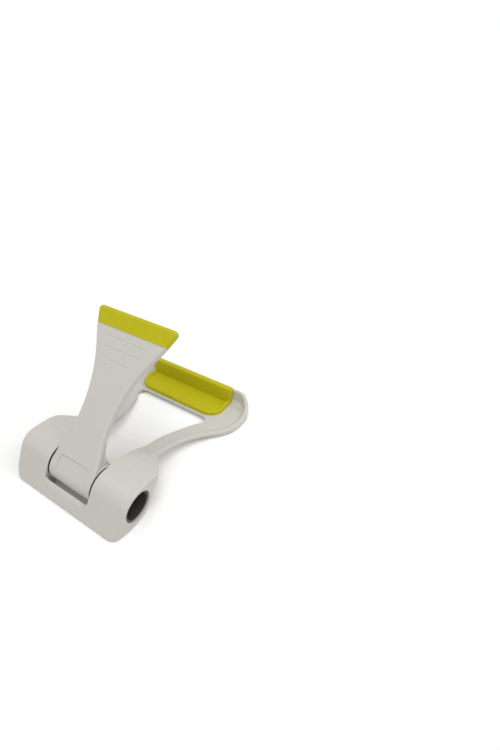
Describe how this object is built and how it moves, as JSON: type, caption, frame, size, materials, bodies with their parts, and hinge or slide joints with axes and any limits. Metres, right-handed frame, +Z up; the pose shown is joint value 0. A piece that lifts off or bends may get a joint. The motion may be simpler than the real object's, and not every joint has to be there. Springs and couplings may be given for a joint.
{
  "type": "folding phone and tablet stand",
  "caption": "Folding desk stand for a phone or tablet: an open frame base with a padded front tray and lip, and a hinged hourglass arm with a soft cap.",
  "frame": {"origin": "on the table, in the middle of the stand's width and depth", "axes": "+X to the right seen from the front, the tray and its lip towards -Y, the hinge towards +Y, +Z up"},
  "size_m": [0.1016, 0.1386, 0.0901],
  "materials": {
    "white_plastic": "satin moulded, warm white",
    "yellow_silicone": "soft matte silicone, lemon yellow",
    "dark_plastic": "smooth, dark grey",
    "black_washer": "matte black"
  },
  "bodies": {
    "base": {"base_frame": "white_plastic", "tray_pad": "yellow_silicone", "foot_left": "yellow_silicone", "foot_right": "yellow_silicone", "hinge_tube": "dark_plastic", "friction_washer_left": "black_washer", "friction_washer_right": "black_washer"},
    "arm": {"support_arm": "white_plastic", "arm_pad": "yellow_silicone"}
  },
  "joints": [
    {"name": "arm_hinge", "type": "hinge", "parent": "base", "child": "arm", "pos_m": [0, 0.05075, 0.013], "axis": [1, 0, 0], "range_deg": [-60, 55]}
  ]
}
